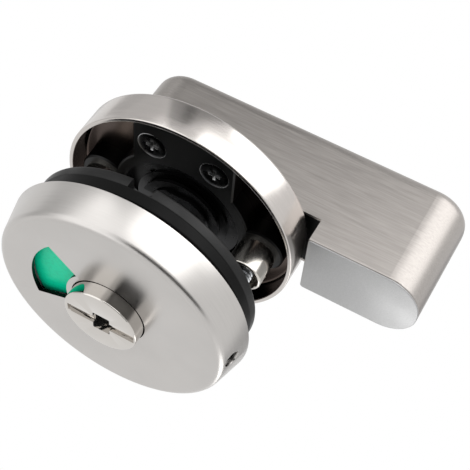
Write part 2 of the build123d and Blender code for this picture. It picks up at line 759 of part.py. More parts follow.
# Coin release: a boss with a coin slot and a tool recess, turned by the spindle
with BuildPart() as coin_release:
    with BuildSketch(across(disc_front)):
        Circle(release_flange_r)
    extrude(amount=RELEASE_FLANGE)
    with BuildSketch(across(release_flange_front)):
        Circle(RELEASE_R)
    extrude(amount=release_flange_front - release_front)
    chamfer(coin_release.faces().sort_by(Axis.Y)[0].edges(), RELEASE_EDGE)
    with BuildSketch(across(disc_rear)):
        flatted_circle(release_hub_r, FLAT_CUT)
    extrude(amount=DISC)
    with BuildSketch(across(disc_clip_rear)):
        Circle(release_hub_r - CLIP_BITE)
    extrude(amount=DISC_CLIP)
    with BuildSketch(across(hub_end)):
        Circle(release_hub_r)
    extrude(amount=AIR)
    with BuildSketch(across(release_tail)):
        Circle(release_journal_r)
    extrude(amount=release_tail - hub_end)
    with BuildSketch(across(release_front + SLOT_DEPTH)):
        Rectangle(SLOT_WIDTH, 2 * (RELEASE_R + OVERRUN))
    extrude(amount=SLOT_DEPTH + OVERRUN, mode=Mode.SUBTRACT)
    with BuildSketch(across(key_floor)):
        Rectangle(KEY_WIDTH, KEY_HEIGHT)
    extrude(amount=KEY_DEPTH + OVERRUN, mode=Mode.SUBTRACT)
    with BuildSketch(across(release_tail)):
        Rectangle(SPINDLE + 2 * SLIP, SPINDLE + 2 * SLIP)
    extrude(amount=release_tail - socket_end, mode=Mode.SUBTRACT)
finish(coin_release, "coin_release")

# Indicator disc, keyed on the release's flats
with BuildPart() as indicator_disc:
    with BuildSketch(across(disc_rear)):
        Circle(disc_r)
    extrude(amount=DISC)
    with BuildSketch(across(disc_rear)):
        flatted_circle(release_hub_r + SEAT, FLAT_CUT)
    extrude(amount=DISC, mode=Mode.SUBTRACT)
finish(indicator_disc, "indicator_disc")

# Colour sectors on the disc: green shows when the bar hangs, red after a quarter turn
sector_angles = {"green_sector": WINDOW_ANGLE, "red_sector": WINDOW_ANGLE + TURN}
for sector_name, sector_angle in sector_angles.items():
    with BuildPart() as sector:
        with BuildSketch(across(disc_front)):
            ring_sector(release_flange_r + SLIP, disc_r - SECTOR_MARGIN, sector_angle, SECTOR_ARC_ANGLE)
        extrude(amount=SECTOR)
    finish(sector, sector_name)

# Clip that holds the disc against the release's flange
with BuildPart() as disc_clip:
    with BuildSketch(across(disc_clip_rear)):
        clip_outline(release_hub_r - CLIP_BITE + SEAT, disc_clip_r)
    extrude(amount=DISC_CLIP)
finish(disc_clip, "disc_clip")
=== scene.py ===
from math import atan, cos, degrees, hypot, pi, radians, sin, tan

import bpy
from mathutils import Matrix, Vector


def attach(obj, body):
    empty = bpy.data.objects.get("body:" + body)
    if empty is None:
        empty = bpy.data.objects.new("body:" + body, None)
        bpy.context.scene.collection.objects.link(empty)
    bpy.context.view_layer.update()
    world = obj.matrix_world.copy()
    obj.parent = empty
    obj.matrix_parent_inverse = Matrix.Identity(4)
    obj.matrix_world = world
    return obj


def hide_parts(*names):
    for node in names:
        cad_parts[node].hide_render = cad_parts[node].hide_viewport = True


# Toilet indicator bolt, unlocked. Outer side at -Y, cubicle side at +Y, the bar hangs towards -Z.
# Sizes are in millimetres until they reach Blender.
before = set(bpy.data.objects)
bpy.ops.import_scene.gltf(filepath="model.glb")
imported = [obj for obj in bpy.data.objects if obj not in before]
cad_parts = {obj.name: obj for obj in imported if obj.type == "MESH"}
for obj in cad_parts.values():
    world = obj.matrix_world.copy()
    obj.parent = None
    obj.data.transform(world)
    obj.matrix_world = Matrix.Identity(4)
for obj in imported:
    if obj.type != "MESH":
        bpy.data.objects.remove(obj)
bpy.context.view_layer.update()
MM = 0.001
ROUND = 192
FINE_ROUND = 256
SMOOTH_BELOW = 32

# Places along Y, and across the door, that several pieces share
RELEASE_FRONT = -20.5
COVER_FACE = -16.8
COVER_REAR = -7.7
TOOL_FRONT = -24
BOLT_Z = 22
SCREW_PLACES = [(x, z) for x in (20.37, -20.37) for z in (8.44, -8.44)]


def spot(x, y, z):
    """A place in millimetres as Blender's metres."""
    return Vector((x, y, z)) * MM


def drop_selection():
    """Leaves edit mode with nothing selected."""
    if bpy.context.object is not None and bpy.context.object.mode != "OBJECT":
        bpy.ops.object.mode_set(mode="OBJECT")
    bpy.ops.object.select_all(action="DESELECT")


def only(piece):
    """Selects one piece and makes it active."""
    drop_selection()
    piece.select_set(True)
    bpy.context.view_layer.objects.active = piece


def pick_faces(piece, wanted):
    """Enters edit mode with the faces selected whose centre, in mm, and normal are wanted."""
    only(piece)
    bpy.ops.object.mode_set(mode="EDIT")
    bpy.ops.mesh.select_mode(type="FACE")
    bpy.ops.mesh.select_all(action="DESELECT")
    bpy.ops.object.mode_set(mode="OBJECT")
    for face in piece.data.polygons:
        face.select = bool(wanted(face.center / MM, face.normal))
    bpy.ops.object.mode_set(mode="EDIT")


def pick_edges(piece, wanted):
    """Enters edit mode with the edges selected whose two ends, in mm, are wanted."""
    only(piece)
    bpy.ops.object.mode_set(mode="EDIT")
    bpy.ops.mesh.select_mode(type="EDGE")
    bpy.ops.mesh.select_all(action="DESELECT")
    bpy.ops.object.mode_set(mode="OBJECT")
    corners = piece.data.vertices
    for edge in piece.data.edges:
        a, b = (corners[i].co / MM for i in edge.vertices)
        edge.select = bool(wanted(a, b))
    bpy.ops.object.mode_set(mode="EDIT")


def at_height(height):
    """A test for edges whose two ends lie within a millimetre of a height."""
    return lambda a, b: abs(a.z - height) < 1 and abs(b.z - height) < 1


def close_up(piece):
    """Merges doubled corners and turns every face outwards."""
    only(piece)
    bpy.ops.object.mode_set(mode="EDIT")
    bpy.ops.mesh.select_all(action="SELECT")
    bpy.ops.mesh.remove_doubles(threshold=0.002 * MM)
    bpy.ops.mesh.normals_make_consistent(inside=False)
    bpy.ops.object.mode_set(mode="OBJECT")


def edge_arc(centre_r, centre_y, size, start, end, count):
    """Points of a rounded edge in an outline of (radius, y), from one angle to another in degrees."""
    turns = [radians(start + (end - start) * i / count) for i in range(count + 1)]
    return [(centre_r + size * cos(t), centre_y + size * sin(t)) for t in turns]


def turned(name, outline, x=0.0, z=0.0, steps=ROUND):
    """Spins an outline of (radius, y) points round the axis through (x, z), as on a lathe."""
    drop_selection()
    bpy.ops.mesh.primitive_plane_add(size=MM, location=(0, 0, 0))
    piece = bpy.context.object
    piece.name = name
    bpy.ops.object.mode_set(mode="EDIT")
    bpy.ops.mesh.select_mode(type="VERT")
    bpy.ops.mesh.select_all(action="SELECT")
    bpy.ops.mesh.merge(type="CENTER")
    corners = [spot(x + r, y, z) for r, y in outline]
    bpy.ops.transform.translate(value=corners[0])
    for a, b in zip(corners, corners[1:]):
        bpy.ops.mesh.extrude_region_move(TRANSFORM_OT_translate={"value": b - a})
    bpy.ops.mesh.select_all(action="SELECT")
    bpy.ops.mesh.spin(steps=steps, angle=2 * pi, center=spot(x, 0, z), axis=(0, 1, 0))
    close_up(piece)
    return piece


def block(name, low, high):
    """A rectangular blank between two corners, to be shaped or to cut with."""
    drop_selection()
    a, b = spot(*low), spot(*high)
    bpy.ops.mesh.primitive_cube_add(size=1, location=(a + b) / 2, scale=b - a)
    piece = bpy.context.object
    piece.name = name
    bpy.ops.object.transform_apply(location=True, rotation=True, scale=True)
    return piece


def rod(name, radius, front, rear, x=0.0, z=0.0, sides=64, turn=0.0):
    """A round blank along Y, turned about its own axis, to be shaped or to cut with."""
    drop_selection()
    bpy.ops.mesh.primitive_cylinder_add(
        vertices=sides,
        radius=radius * MM,
        depth=(rear - front) * MM,
        location=spot(x, (front + rear) / 2, z),
        rotation=(pi / 2, turn, 0),
    )
    piece = bpy.context.object
    piece.name = name
    bpy.ops.object.transform_apply(location=True, rotation=True, scale=True)
    return piece


def combine(piece, other, operation):
    """Works another closed shape into the piece, which stays one solid, and throws the other away."""
    only(piece)
    modifier = piece.modifiers.new("combine", "BOOLEAN")
    modifier.operation = operation
    modifier.solver = "EXACT"
    modifier.object = other
    bpy.ops.object.modifier_apply(modifier=modifier.name)
    bpy.data.objects.remove(other)


def cut(piece, tool):
    """Cuts the tool's shape out of the piece."""
    combine(piece, tool, "DIFFERENCE")


def fuse(piece, other):
    """Joins another shape to the piece."""
    combine(piece, other, "UNION")


def break_edges(piece, size, angle):
    """Takes the sharpness off every edge that turns by more than the angle."""
    only(piece)
    modifier = piece.modifiers.new("edges", "BEVEL")
    modifier.width = size * MM
    modifier.segments = 2
    modifier.limit_method = "ANGLE"
    modifier.angle_limit = radians(angle)
    bpy.ops.object.modifier_apply(modifier=modifier.name)


def round_along_y(piece, size, segments, wanted=lambda a, b: True):
    """Rounds the edges of a blank that run along Y."""
    pick_edges(piece, lambda a, b: abs((a - b).y) > 0.9 * (a - b).length and wanted(a, b))
    bpy.ops.mesh.bevel(offset=size * MM, segments=segments)
    bpy.ops.object.mode_set(mode="OBJECT")


def two_finishes(piece, main, other, wanted):
    """Gives a piece a second finish on the faces whose centre, in mm, and normal are wanted."""
    piece.data.materials.append(main)
    piece.data.materials.append(other)
    for face in piece.data.polygons:
        if wanted(face.center / MM, face.normal):
            face.material_index = 1


def copied(piece, x, z):
    """Another piece like this one, with a mesh of its own, moved by x and z millimetres."""
    twin = piece.copy()
    twin.data = piece.data.copy()
    bpy.context.collection.objects.link(twin)
    twin.data.transform(Matrix.Translation(spot(x, 0, z)))
    return twin


def finished(piece, body, material, slot, *nodes):
    """Smooths a finished piece, gives it its material and its body, and stands it for its nodes."""
    only(piece)
    bpy.ops.object.shade_smooth_by_angle(angle=radians(SMOOTH_BELOW))
    if not piece.data.materials:
        piece.data.materials.append(material)
    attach(piece, body)
    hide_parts(*nodes)


# Camera, placed from the ellipses and straight edges of the photograph
RIGHT = Vector((0.0632, 0.48359, -0.87301))
UP = Vector((0.57585, 0.69678, 0.42766))
BACK = Vector((0.81511, -0.52975, -0.23444))
drop_selection()
bpy.ops.object.camera_add(location=spot(244.59, -141.34, -85.26))
camera = bpy.context.object
camera.name = "camera"
turn = Matrix((RIGHT, UP, BACK)).transposed().to_4x4()
camera.matrix_world = Matrix.Translation(camera.location) @ turn
camera.data.sensor_width = 36
camera.data.lens = 93.7
camera.data.clip_start = 0.02
bpy.context.scene.camera = camera
bpy.context.scene.view_settings.view_transform = "Standard"


# Materials. Noise lies mostly between the low and the high; a stretch is smallest along the lines.
FINE_LOW, FINE_HIGH = 0.3, 0.7
SLOW_LOW, SLOW_HIGH = 0.35, 0.65
EVEN = (1, 1, 1)
ROUND_THE_AXIS = (0.02, 1, 0.02)


def ink(code):
    """An sRGB hex colour as linear values with full opacity."""
    parts = [int(code[i : i + 2], 16) / 255 for i in (1, 3, 5)]
    return tuple(p / 12.92 if p <= 0.04045 else ((p + 0.055) / 1.055) ** 2.4 for p in parts) + (1,)


def add(tree, kind, inputs=None, **settings):
    """Adds a node with its settings, and sets its inputs to values or links them to sockets."""
    node = tree.nodes.new(kind)
    for name, value in settings.items():
        setattr(node, name, value)
    for name, value in (inputs or {}).items():
        if isinstance(value, bpy.types.NodeSocket):
            tree.links.new(value, node.inputs[name])
        else:
            node.inputs[name].default_value = value
    return node


def new_finish(name, colour, roughness, metallic=0.0, gloss=0.5):
    """A material whose shader has its colour, roughness, metal and gloss, with its tree and shader."""
    material = bpy.data.materials.new(name)
    material.use_nodes = True
    shader = material.node_tree.nodes["Principled BSDF"]
    shader.inputs["Base Color"].default_value = ink(colour)
    shader.inputs["Roughness"].default_value = roughness
    shader.inputs["Metallic"].default_value = metallic
    shader.inputs["Specular IOR Level"].default_value = gloss
    return material, material.node_tree, shader


def stretched_noise(tree, stretch, grain, detail=3.0):
    """Noise on the piece's own coordinates, its features grain millimetres across."""
    where = add(tree, "ShaderNodeTexCoord").outputs["Object"]
    fitted = add(tree, "ShaderNodeMapping", {"Vector": where, "Scale": stretch}).outputs["Vector"]
    density = 1 / (grain * MM)
    return add(tree, "ShaderNodeTexNoise", {"Vector": fitted, "Scale": density, "Detail": detail}).outputs[0]


def tone_and_relief(tree, shader, colour, noise, shade, strength, depth):
    """Makes a surface lighter and darker by a share, and raises it by a depth in mm, as the noise goes."""
    dim, bright = 1 - shade, 1 + shade
    span = {"Value": noise, "From Min": FINE_LOW, "From Max": FINE_HIGH, "To Min": dim, "To Max": bright}
    tone = add(tree, "ShaderNodeMapRange", span).outputs["Result"]
    tinted = add(tree, "ShaderNodeVectorMath", {0: ink(colour)[:3], 3: tone}, operation="SCALE")
    tree.links.new(tinted.outputs["Vector"], shader.inputs["Base Color"])
    relief = add(tree, "ShaderNodeBump", {"Height": noise, "Strength": strength, "Distance": depth * MM})
    tree.links.new(relief.outputs["Normal"], shader.inputs["Normal"])


def brushed_metal(name, colour, roughness, stretch, grain, depth, shade, detail=3.0):
    """Metal with fine lines one way, in tone, in relief and in roughness from one value to another."""
    low, high = roughness
    material, tree, shader = new_finish(name, colour, low, 1.0)
    lines = stretched_noise(tree, stretch, grain, detail)
    span = {"Value": lines, "From Min": FINE_LOW, "From Max": FINE_HIGH, "To Min": low, "To Max": high}
    gloss = add(tree, "ShaderNodeMapRange", span).outputs["Result"]
    tree.links.new(gloss, shader.inputs["Roughness"])
    tone_and_relief(tree, shader, colour, lines, shade, 0.35, depth)
    return material


def moulded(name, colour, roughness, grain, depth, patches, spread, metallic=0.0, gloss=0.5):
    """A moulded or cast surface: fine grain in relief, and slow patches of more and less gloss."""
    material, tree, shader = new_finish(name, colour, roughness, metallic, gloss)
    texture = stretched_noise(tree, EVEN, grain)
    cloud = stretched_noise(tree, EVEN, patches, 2.0)
    low, high = roughness - spread, roughness + spread
    span = {"Value": cloud, "From Min": SLOW_LOW, "From Max": SLOW_HIGH, "To Min": low, "To Max": high}
    dullness = add(tree, "ShaderNodeMapRange", span).outputs["Result"]
    tree.links.new(dullness, shader.inputs["Roughness"])
    tone_and_relief(tree, shader, colour, texture, 0.08, 0.5, depth)
    return material


# Stainless steel, belt-brushed round its rim: bands of light that cross the side of cover and cup
cover_steel = brushed_metal(
    "stainless_steel_satin_brushed", "#BEBBB8", (0.28, 0.33), ROUND_THE_AXIS, 0.22, 0.002, 0.03
)
cup_steel = brushed_metal(
    "stainless_steel_fine_brushed", "#C4BFBB", (0.17, 0.23), ROUND_THE_AXIS, 0.25, 0.002, 0.03
)

# Stainless steel painted nearly black as shade, for the window's walls and the cover's inner face
cover_painted_shade = brushed_metal(
    "stainless_steel_painted_shade", "#1E1C1B", (0.35, 0.45), (1, 0.1, 1), 0.30, 0.003, 0.05
)

# Stainless steel inside the cup, painted dark as shade, with a little brown in it
cup_painted_shade = brushed_metal(
    "stainless_steel_painted_shade_brown", "#4A403B", (0.16, 0.26), ROUND_THE_AXIS, 0.30, 0.003, 0.05
)

# Stainless steel, brushed along the bar: a warm grey with short lines that run the bar's length,
# drawn 0.3 mm wide, coarser than the belt's grit leaves them, so that they show
bar_steel = brushed_metal(
    "stainless_steel_long_brushed", "#A6A19D", (0.32, 0.38), (1, 1, 0.04), 0.30, 0.003, 0.10, 8.0
)

# Nickel plate on turned brass: sharp bright and dark reflections, faint turning marks
bright_nickel = brushed_metal(
    "brass_nickel_plated", "#C8C4BF", (0.03, 0.06), (0.05, 1, 0.05), 0.25, 0.0003, 0.02
)

# Nickel plate on steel bar, barrelled before plating: the same colour with softer reflections
post_nickel = brushed_metal(
    "steel_nickel_plated_barrelled", "#CFCBC4", (0.18, 0.24), (0.2, 1, 0.2), 0.25, 0.002, 0.03
)

# Zinc plate on turned or pressed steel: softer and a little bluish
zinc_plate = brushed_metal("steel_zinc_plated", "#A9ABAD", (0.22, 0.34), EVEN, 0.6, 0.003, 0.05)

# Glass-filled nylon, moulded: nearly black with a dull spark-eroded grain
black_nylon = moulded("nylon_black_moulded", "#020202", 0.50, 0.35, 0.02, 9.0, 0.06, gloss=0.12)

# Nitrile rubber, moulded: matt black, its grain a little coarser
black_rubber = moulded("nitrile_rubber_moulded", "#060606", 0.44, 0.30, 0.05, 6.0, 0.08, gloss=0.30)

# Zinc alloy, die cast and painted black: smooth low gloss that catches light on its edges
black_casting = moulded("zinc_alloy_painted_black", "#030303", 0.36, 0.8, 0.010, 12.0, 0.06, gloss=0.2)

# Steel screws, phosphate black and oiled: dark metal with bright rims
black_screw = moulded("steel_phosphate_black", "#242425", 0.24, 0.5, 0.004, 3.0, 0.05, 1.0)

# The same steel painted light grey as a highlight, on the head's rim and the walls of its cross
screw_painted_highlight = moulded("steel_phosphate_painted_highlight", "#9A9A9A", 0.22, 0.5, 0.004, 3.0, 0.05, 1.0)

# Acetal, moulded white: bearing, washer and disc
white_acetal = moulded("acetal_white_moulded", "#E4E4E0", 0.36, 0.5, 0.002, 6.0, 0.05)

# ABS, sprayed silver: smooth, slightly grainy, between metal and paint
silver_spray = moulded("abs_silver_sprayed", "#AEAEAE", 0.42, 0.22, 0.003, 10.0, 0.03, 0.75)

# Printed film, green for vacant and red for engaged: an even colour under a clear glossy face
green_film = moulded("polyester_film_green", "#08FFC4", 0.32, 0.9, 0.001, 5.0, 0.04, gloss=0.15)
red_film = moulded("polyester_film_red", "#D41C26", 0.32, 0.9, 0.001, 5.0, 0.04, gloss=0.15)

# Unlit bore: the inside of the tool recess, painted black as shade
recess_painted_shade, recess_tree, recess_shader = new_finish("brass_bore_painted_shade", "#050505", 0.7)
recess_grain = stretched_noise(recess_tree, EVEN, 0.4)
recess_bump = {"Height": recess_grain, "Strength": 0.4, "Distance": 0.01 * MM}
recess_relief = add(recess_tree, "ShaderNodeBump", recess_bump)
recess_tree.links.new(recess_relief.outputs["Normal"], recess_shader.inputs["Normal"])

# The finish of every CAD node, shown or replaced
NODE_FINISHES = {
    "outer_cover": cover_steel,
    "cover_grub_screw": black_screw,
    "outer_base": black_nylon,
    "outer_gasket": black_rubber,
    "fixing_bolts": zinc_plate,
    "threaded_posts": post_nickel,
    "inner_cup": cup_steel,
    "inner_base": black_casting,
    "base_screws": black_screw,
    "hub_bush": white_acetal,
    "thrust_washer": white_acetal,
    "stop_pin": black_screw,
    "bar_shell": bar_steel,
    "bar_core": black_nylon,
    "buffer_insert": silver_spray,
    "buffer_screws": zinc_plate,
    "drive_hub": black_screw,
    "hub_screws": zinc_plate,
    "spindle": zinc_plate,
    "stop_washer": black_screw,
    "disc_spring": black_screw,
    "hub_circlip": black_screw,
    "coin_release": bright_nickel,
    "indicator_disc": white_acetal,
    "green_sector": green_film,
    "red_sector": red_film,
    "disc_clip": zinc_plate,
}
for node_name, node_finish in NODE_FINISHES.items():
    for node_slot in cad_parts[node_name].material_slots:
        node_slot.material = node_finish


# Outer cover: a pressed cap, spun from its wall and then pierced
COVER_REAR_R = 32.5
COVER_REAR_INNER_R = 31.47
COVER_ROUND_R = 28.72
COVER_ROUND = 2.0
COVER_SHEET = 1.0
COVER_SPREAD = 2.2
COVER_EDGE = 0.10
RELEASE_HOLE_R = 10.05
side_turn = degrees(atan(COVER_SPREAD / (COVER_REAR - COVER_FACE)))
cover = turned(
    "cover_pressed",
    [(RELEASE_HOLE_R, COVER_FACE)]
    + edge_arc(COVER_ROUND_R, COVER_FACE + COVER_ROUND, COVER_ROUND, -90, -side_turn, 14)
    + [(COVER_REAR_R, COVER_REAR), (COVER_REAR_INNER_R, COVER_REAR)]
    + edge_arc(COVER_ROUND_R, COVER_FACE + COVER_ROUND, COVER_ROUND - COVER_SHEET, -side_turn, -90, 10)
    + [(RELEASE_HOLE_R, COVER_FACE + COVER_SHEET), (RELEASE_HOLE_R, COVER_FACE)],
    steps=FINE_ROUND,
)

# The window: a sector, swept from a flat blank as wide as the window is from its inner to its outer arc
WINDOW_R = 16.35
WINDOW_WIDE = 9.7
WINDOW_EDGE_R = 21.6
WINDOW_START = 46.8
WINDOW_ARC = 63.8
drop_selection()
bpy.ops.mesh.primitive_plane_add(size=MM, location=(0, 0, 0))
window_tool = bpy.context.object
bpy.ops.object.mode_set(mode="EDIT")
bpy.ops.transform.resize(value=(WINDOW_WIDE, 4, 1))
bpy.ops.transform.translate(value=spot(WINDOW_R, COVER_FACE, 0))
bpy.ops.transform.rotate(value=radians(WINDOW_START), orient_axis="Y", center_override=(0, 0, 0))
bpy.ops.mesh.spin(steps=40, angle=radians(WINDOW_ARC), center=(0, 0, 0), axis=(0, 1, 0))
bpy.ops.object.mode_set(mode="OBJECT")
close_up(window_tool)
cut(cover, window_tool)

# The grub screw's hole, drilled through the cover's underside
GRUB_R = 2.15
GRUB_BACK = 3.6
grub_tool = rod("grub_tool", GRUB_R, 25, 35)
underside = Matrix.Rotation(-pi / 2, 4, "X")
grub_tool.data.transform(Matrix.Translation(spot(0, COVER_FACE + GRUB_BACK, 0)) @ underside)
cut(cover, grub_tool)
break_edges(cover, COVER_EDGE, 50)


def inside_cover(place, normal):
    """The window's walls behind their broken edge, and the cover's inner face."""
    window_wall = hypot(place.x, place.z) < WINDOW_EDGE_R and abs(normal.y) < 0.4
    inner_face = normal.y > 0.5 and place.y < COVER_REAR - 0.5
    return inner_face or (window_wall and place.y > COVER_FACE + 1.1 * COVER_EDGE)


# The window's walls and the cover's inner face take the nearly black steel: painted shade
two_finishes(cover, cover_steel, cover_painted_shade, inside_cover)
finished(cover, "door_set", cover_steel, "brushed_stainless", "outer_cover")

# Coin release: a turned boss with a flange, a seat for the disc and a groove for the disc's clip
RELEASE_R = 9.75
RELEASE_ROUND = 0.43
RELEASE_FLANGE_R = 11.3
DISC_SEAT_R = 8.7
CLIP_GROOVE_R = 8.0
RELEASE_TAIL_R = 7.2
FLANGE_FRONT, DISC_FRONT, CLIP_FRONT, CLIP_REAR = -15.5, -14.3, -13.3, -12.4
TAIL_FRONT, TAIL_REAR = -12.1, -3.5
release = turned(
    "release_turned",
    [(0, RELEASE_FRONT), (RELEASE_R - RELEASE_ROUND, RELEASE_FRONT)]
    + edge_arc(RELEASE_R - RELEASE_ROUND, RELEASE_FRONT + RELEASE_ROUND, RELEASE_ROUND, -90, 0, 6)
    + [(RELEASE_R, FLANGE_FRONT), (RELEASE_FLANGE_R, FLANGE_FRONT), (RELEASE_FLANGE_R, DISC_FRONT)]
    + [(DISC_SEAT_R, DISC_FRONT), (DISC_SEAT_R, CLIP_FRONT), (CLIP_GROOVE_R, CLIP_FRONT)]
    + [(CLIP_GROOVE_R, CLIP_REAR), (DISC_SEAT_R, CLIP_REAR), (DISC_SEAT_R, TAIL_FRONT)]
    + [(RELEASE_TAIL_R, TAIL_FRONT), (RELEASE_TAIL_R, TAIL_REAR), (0, TAIL_REAR)],
)

# Its coin slot and tool recess, milled a little off centre as in the photograph, and its square socket
SLOT_DEPTH = 1.2
RECESS_DEPTH = 3
SOCKET_HALF = 3.15
SOCKET_FRONT = -15.7
cut(release, block("slot_tool", (-1.5, TOOL_FRONT, -9.3), (1.25, RELEASE_FRONT + SLOT_DEPTH, 8.7)))
recess_tool = block("recess_tool", (-3.3, TOOL_FRONT, -2.75), (2.9, RELEASE_FRONT + RECESS_DEPTH, 1.75))
round_along_y(recess_tool, 0.35, 3)
cut(release, recess_tool)
socket_low, socket_high = (-SOCKET_HALF, SOCKET_FRONT, -SOCKET_HALF), (SOCKET_HALF, 0, SOCKET_HALF)
cut(release, block("socket_tool", socket_low, socket_high))
break_edges(release, 0.07, 60)


def inside_recess(place, normal):
    """The walls and floor of the tool recess."""
    deep = RELEASE_FRONT + 0.25 < place.y < RELEASE_FRONT + RECESS_DEPTH + 0.4
    return deep and abs(place.x) < 3.4 and -2.8 < place.z < 1.8


# The recess's walls and floor take the black finish: painted shade
two_finishes(release, bright_nickel, recess_painted_shade, inside_recess)
finished(release, "indicator", bright_nickel, "bright_steel", "coin_release")

# Gasket: a rubber ring with a slightly crowned side, two bolt holes and a notch. The tool for the holes
# is turned by half a facet, so that none of its corners meets an edge of the ring.
GASKET_R = 30.3
GASKET_BORE_R = 13.8
GASKET_FRONT, GASKET_CROWN = -2.98, -1.5
CROWN = 0.05
GASKET_FRONT_ROUND = 0.3
GASKET_REAR_ROUND = 0.75
HOLE_SIDES = 64
NOTCH_DEPTH = 4.4
NOTCH_HALF = 3
front_r = GASKET_R - CROWN - GASKET_FRONT_ROUND
gasket = turned(
    "gasket_moulded",
    [(GASKET_BORE_R, GASKET_FRONT), (front_r, GASKET_FRONT)]
    + edge_arc(front_r, GASKET_FRONT + GASKET_FRONT_ROUND, GASKET_FRONT_ROUND, -90, 0, 4)
    + [(GASKET_R, GASKET_CROWN)]
    + edge_arc(GASKET_R - GASKET_REAR_ROUND, -GASKET_REAR_ROUND, GASKET_REAR_ROUND, 0, 90, 6)
    + [(GASKET_BORE_R, 0), (GASKET_BORE_R, GASKET_FRONT)],
)
for z in (BOLT_Z, -BOLT_Z):
    cut(gasket, rod("bolt_hole_tool", 2.75, -5, 2, 0, z, HOLE_SIDES, pi / HOLE_SIDES))
notch_tool = block("notch_tool", (GASKET_R - NOTCH_DEPTH, -5, -NOTCH_HALF), (GASKET_R + 3, 2, NOTCH_HALF))
round_along_y(notch_tool, 1.2, 5)
cut(gasket, notch_tool)
finished(gasket, "door_set", black_rubber, "black_rubber", "outer_gasket")

# Inner cup: spun from its wall, with a rounded rim and floor and four blind screw holes
CUP_R = 31.7
CUP_INNER_R = 30.5
CUP_RIM, CUP_FLOOR, CUP_REAR = 15.0, 21.3, 24.4
HUB_HOLE_R = 9.92
RIM_ROUND, FLOOR_ROUND, REAR_ROUND = 0.3, 0.8, 0.9
SCREW_HOLE_R = 2.03
SCREW_HOLE_END = 23.9
cup = turned(
    "cup_turned",
    [(HUB_HOLE_R, CUP_FLOOR), (CUP_INNER_R - FLOOR_ROUND, CUP_FLOOR)]
    + edge_arc(CUP_INNER_R - FLOOR_ROUND, CUP_FLOOR - FLOOR_ROUND, FLOOR_ROUND, 90, 0, 6)
    + [(CUP_INNER_R, CUP_RIM + RIM_ROUND)]
    + edge_arc(CUP_INNER_R + RIM_ROUND, CUP_RIM + RIM_ROUND, RIM_ROUND, 180, 270, 4)
    + edge_arc(CUP_R - RIM_ROUND, CUP_RIM + RIM_ROUND, RIM_ROUND, -90, 0, 4)
    + edge_arc(CUP_R - REAR_ROUND, CUP_REAR - REAR_ROUND, REAR_ROUND, 0, 90, 8)
    + [(HUB_HOLE_R, CUP_REAR), (HUB_HOLE_R, CUP_FLOOR)],
    steps=FINE_ROUND,
)
for x, z in SCREW_PLACES:
    cut(cup, rod("blind_hole_tool", SCREW_HOLE_R, 20, SCREW_HOLE_END, x, z, 32))


def inside_cup(place, normal):
    """The wall that faces the axis, and the floor."""
    inward = normal.x * place.x + normal.z * place.z < -0.3 * hypot(place.x, place.z)
    floor_face = normal.y < -0.5 and place.y > CUP_RIM + 1
    return place.y < CUP_REAR - 0.6 and (inward or floor_face)


# The cup's inner wall and floor take the dark brown steel: painted shade
two_finishes(cup, cup_steel, cup_painted_shade, inside_cup)
finished(cup, "door_set", cup_steel, "brushed_stainless", "inner_cup")

# Buffer insert: the moulded block with the thin face that covers the shell's edge
BAR_HALF = 9.8
BAR_END = -63.5
BAR_STEP = -33.3
BAR_CORNER = 9.3
FACE_FRONT = 18.85
FACE_SHEET = 0.3
NECK_INSET = 1.2
NECK_TOP = -34.6
NECK_REAR = 20.4
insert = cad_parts["buffer_insert"].copy()
insert.data = insert.data.copy()
insert.name = "insert_moulded"
insert.parent = None
insert.matrix_world = Matrix.Identity(4)
bpy.context.collection.objects.link(insert)
close_up(insert)
face_low = (-BAR_HALF, FACE_FRONT, BAR_END)
face_plate = block("face_plate", face_low, (BAR_HALF, FACE_FRONT + FACE_SHEET, BAR_STEP))
round_along_y(face_plate, BAR_CORNER, 24, at_height(BAR_END))
round_along_y(face_plate, 0.9, 6, at_height(BAR_STEP))
pick_edges(face_plate, lambda a, b: max(a.y, b.y) < FACE_FRONT + 0.01)
bpy.ops.mesh.bevel(offset=0.22 * MM, segments=4)
bpy.ops.object.mode_set(mode="OBJECT")
neck_half, neck_end = BAR_HALF - NECK_INSET, BAR_END + NECK_INSET
neck_low = (-neck_half, FACE_FRONT + 0.2, neck_end)
neck_plate = block("neck_plate", neck_low, (neck_half, NECK_REAR, NECK_TOP))
round_along_y(neck_plate, BAR_CORNER - NECK_INSET, 24, at_height(neck_end))
fuse(insert, neck_plate)
fuse(insert, face_plate)
finished(insert, "turn_bar", silver_spray, "silver_insert", "buffer_insert")

# Base screws: turned countersunk heads with tapered cross recesses, a highlight painted light on rim and
# recess
PLATE_FRONT = 16.5
SCREW_HEAD_R = 4.0
SCREW_SHANK_R = 2.0
SCREW_RIM = 0.3
SCREW_END = 23.7
CROSS_LONG = 4.4
SCREW_CROSS_WIDE = 1.0
SCREW_CROSS_END = 17.9
CROSS_TAPER = 0.55
SCREW_HIGHLIGHT_DEPTH = 0.9
cone_end = PLATE_FRONT + SCREW_RIM + SCREW_HEAD_R - SCREW_SHANK_R
x, z = SCREW_PLACES[0]
screw = turned(
    "base_screw",
    [(0, PLATE_FRONT + 0.06), (2.6, PLATE_FRONT + 0.04), (3.75, PLATE_FRONT), (3.97, PLATE_FRONT + 0.12)]
    + [(SCREW_HEAD_R, PLATE_FRONT + SCREW_RIM), (SCREW_SHANK_R, cone_end)]
    + [(SCREW_SHANK_R, SCREW_END - 0.2), (SCREW_SHANK_R - 0.3, SCREW_END), (0, SCREW_END)],
    x,
    z,
    steps=64,
)
for wide, tall in ((CROSS_LONG, SCREW_CROSS_WIDE), (SCREW_CROSS_WIDE, CROSS_LONG)):
    arm_low = (x - wide / 2, 14, z - tall / 2)
    arm = block("arm_tool", arm_low, (x + wide / 2, SCREW_CROSS_END, z + tall / 2))
    pick_faces(arm, lambda centre, normal: normal.y > 0.9)
    tip = spot(x, SCREW_CROSS_END, z)
    bpy.ops.transform.resize(value=(CROSS_TAPER, 1, CROSS_TAPER), center_override=tip)
    bpy.ops.object.mode_set(mode="OBJECT")
    cut(screw, arm)
break_edges(screw, 0.12, 45)


